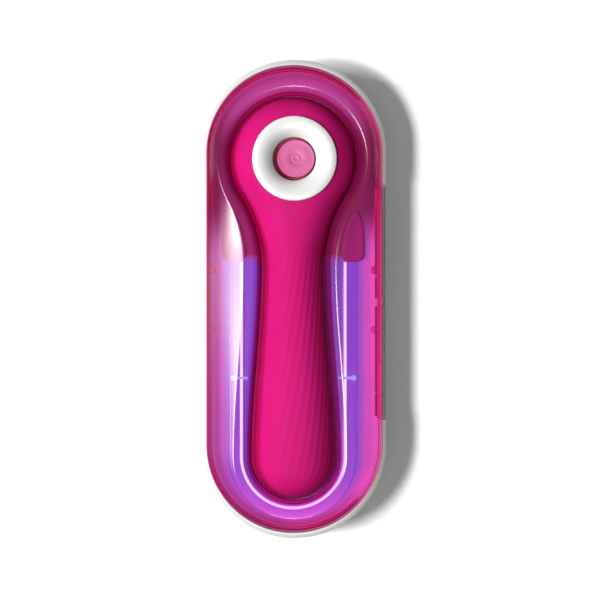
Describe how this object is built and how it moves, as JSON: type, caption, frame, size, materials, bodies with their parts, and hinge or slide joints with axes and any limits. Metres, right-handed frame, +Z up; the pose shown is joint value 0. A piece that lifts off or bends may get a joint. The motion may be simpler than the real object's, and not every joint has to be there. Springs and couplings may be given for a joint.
{
  "type": "skin scrubber",
  "caption": "Handheld silicone skin scrubber with a rolled ring and thumb button, lying in a pill-shaped storage case with a hinged clear tinted lid.",
  "frame": {"origin": "centre of the case's footprint, on the surface that its feet stand on", "axes": "+X towards the hinge side, +Y towards the scrubber's head, +Z up"},
  "size_m": [0.0752, 0.195, 0.0384],
  "materials": {
    "case_white": "satin white moulded plastic",
    "foot_rubber": "matte",
    "tray_pink": "glossy",
    "guide_violet": "glossy, lit from its ends",
    "clip_clear": "glossy",
    "cover_magenta": "glossy",
    "lamp_white": "satin",
    "board_green": "solder mask",
    "contact_gold": "polished",
    "steel": "brushed",
    "magnet": "matte",
    "lid_magenta": "clear tinted plastic, glossy",
    "skin_magenta": "soft matte silicone",
    "chassis_grey": "matte",
    "battery_wrap": "shrink wrap",
    "ring_white": "satin",
    "button_pink": "clear tinted, satin face",
    "hinge_grey": "matte",
    "hinge_magenta": "satin, tinted like the lid",
    "weight_brass": "machined"
  },
  "bodies": {
    "case": {"base_shell": "case_white", "base_feet": "foot_rubber", "cradle": "tray_pink", "light_guide": "guide_violet", "guide_clips": "clip_clear", "led_covers": "cover_magenta", "led_lamps": "lamp_white", "led_boards": "board_green", "charge_studs": "contact_gold", "charge_board": "board_green", "power_socket": "steel", "base_hinge_leaves": "hinge_grey", "hinge_pins": "steel", "cradle_screws": "steel", "catch_magnet": "magnet"},
    "lid": {"lid": "lid_magenta", "lid_hinge_leaves": "hinge_magenta", "catch_plate": "steel"},
    "scrubber": {"grip_skin": "skin_magenta", "scrub_pad": "skin_magenta", "chassis_top": "chassis_grey", "chassis_bottom": "chassis_grey", "chassis_screws": "steel", "battery": "battery_wrap", "motor_can": "steel", "motor_bracket": "chassis_grey", "circuit_board": "board_green", "button_switch": "magnet", "bezel_ring": "ring_white", "charge_contacts": "contact_gold"},
    "button": {"power_button": "button_pink"},
    "rotor": {"motor_shaft": "steel", "motor_weight": "weight_brass"}
  },
  "joints": [
    {"name": "lid_hinge", "type": "hinge", "parent": "case", "child": "lid", "pos_m": [0.035, 0, 0.0268], "axis": [0, 1, 0], "range_deg": [0, 110]},
    {"name": "scrubber_lift", "type": "slide", "parent": "case", "child": "scrubber", "axis": [0, 0, 1], "range_m": [0, 0.06]},
    {"name": "button_press", "type": "slide", "parent": "scrubber", "child": "button", "axis": [0, 0, -1], "range_m": [0, 0.0008], "stiffness_N_per_m": 1500, "springref_m": -0.0005},
    {"name": "motor_spin", "type": "hinge", "parent": "scrubber", "child": "rotor", "pos_m": [0, 0.0568, 0.018], "axis": [0, 1, 0], "continuous": true}
  ]
}
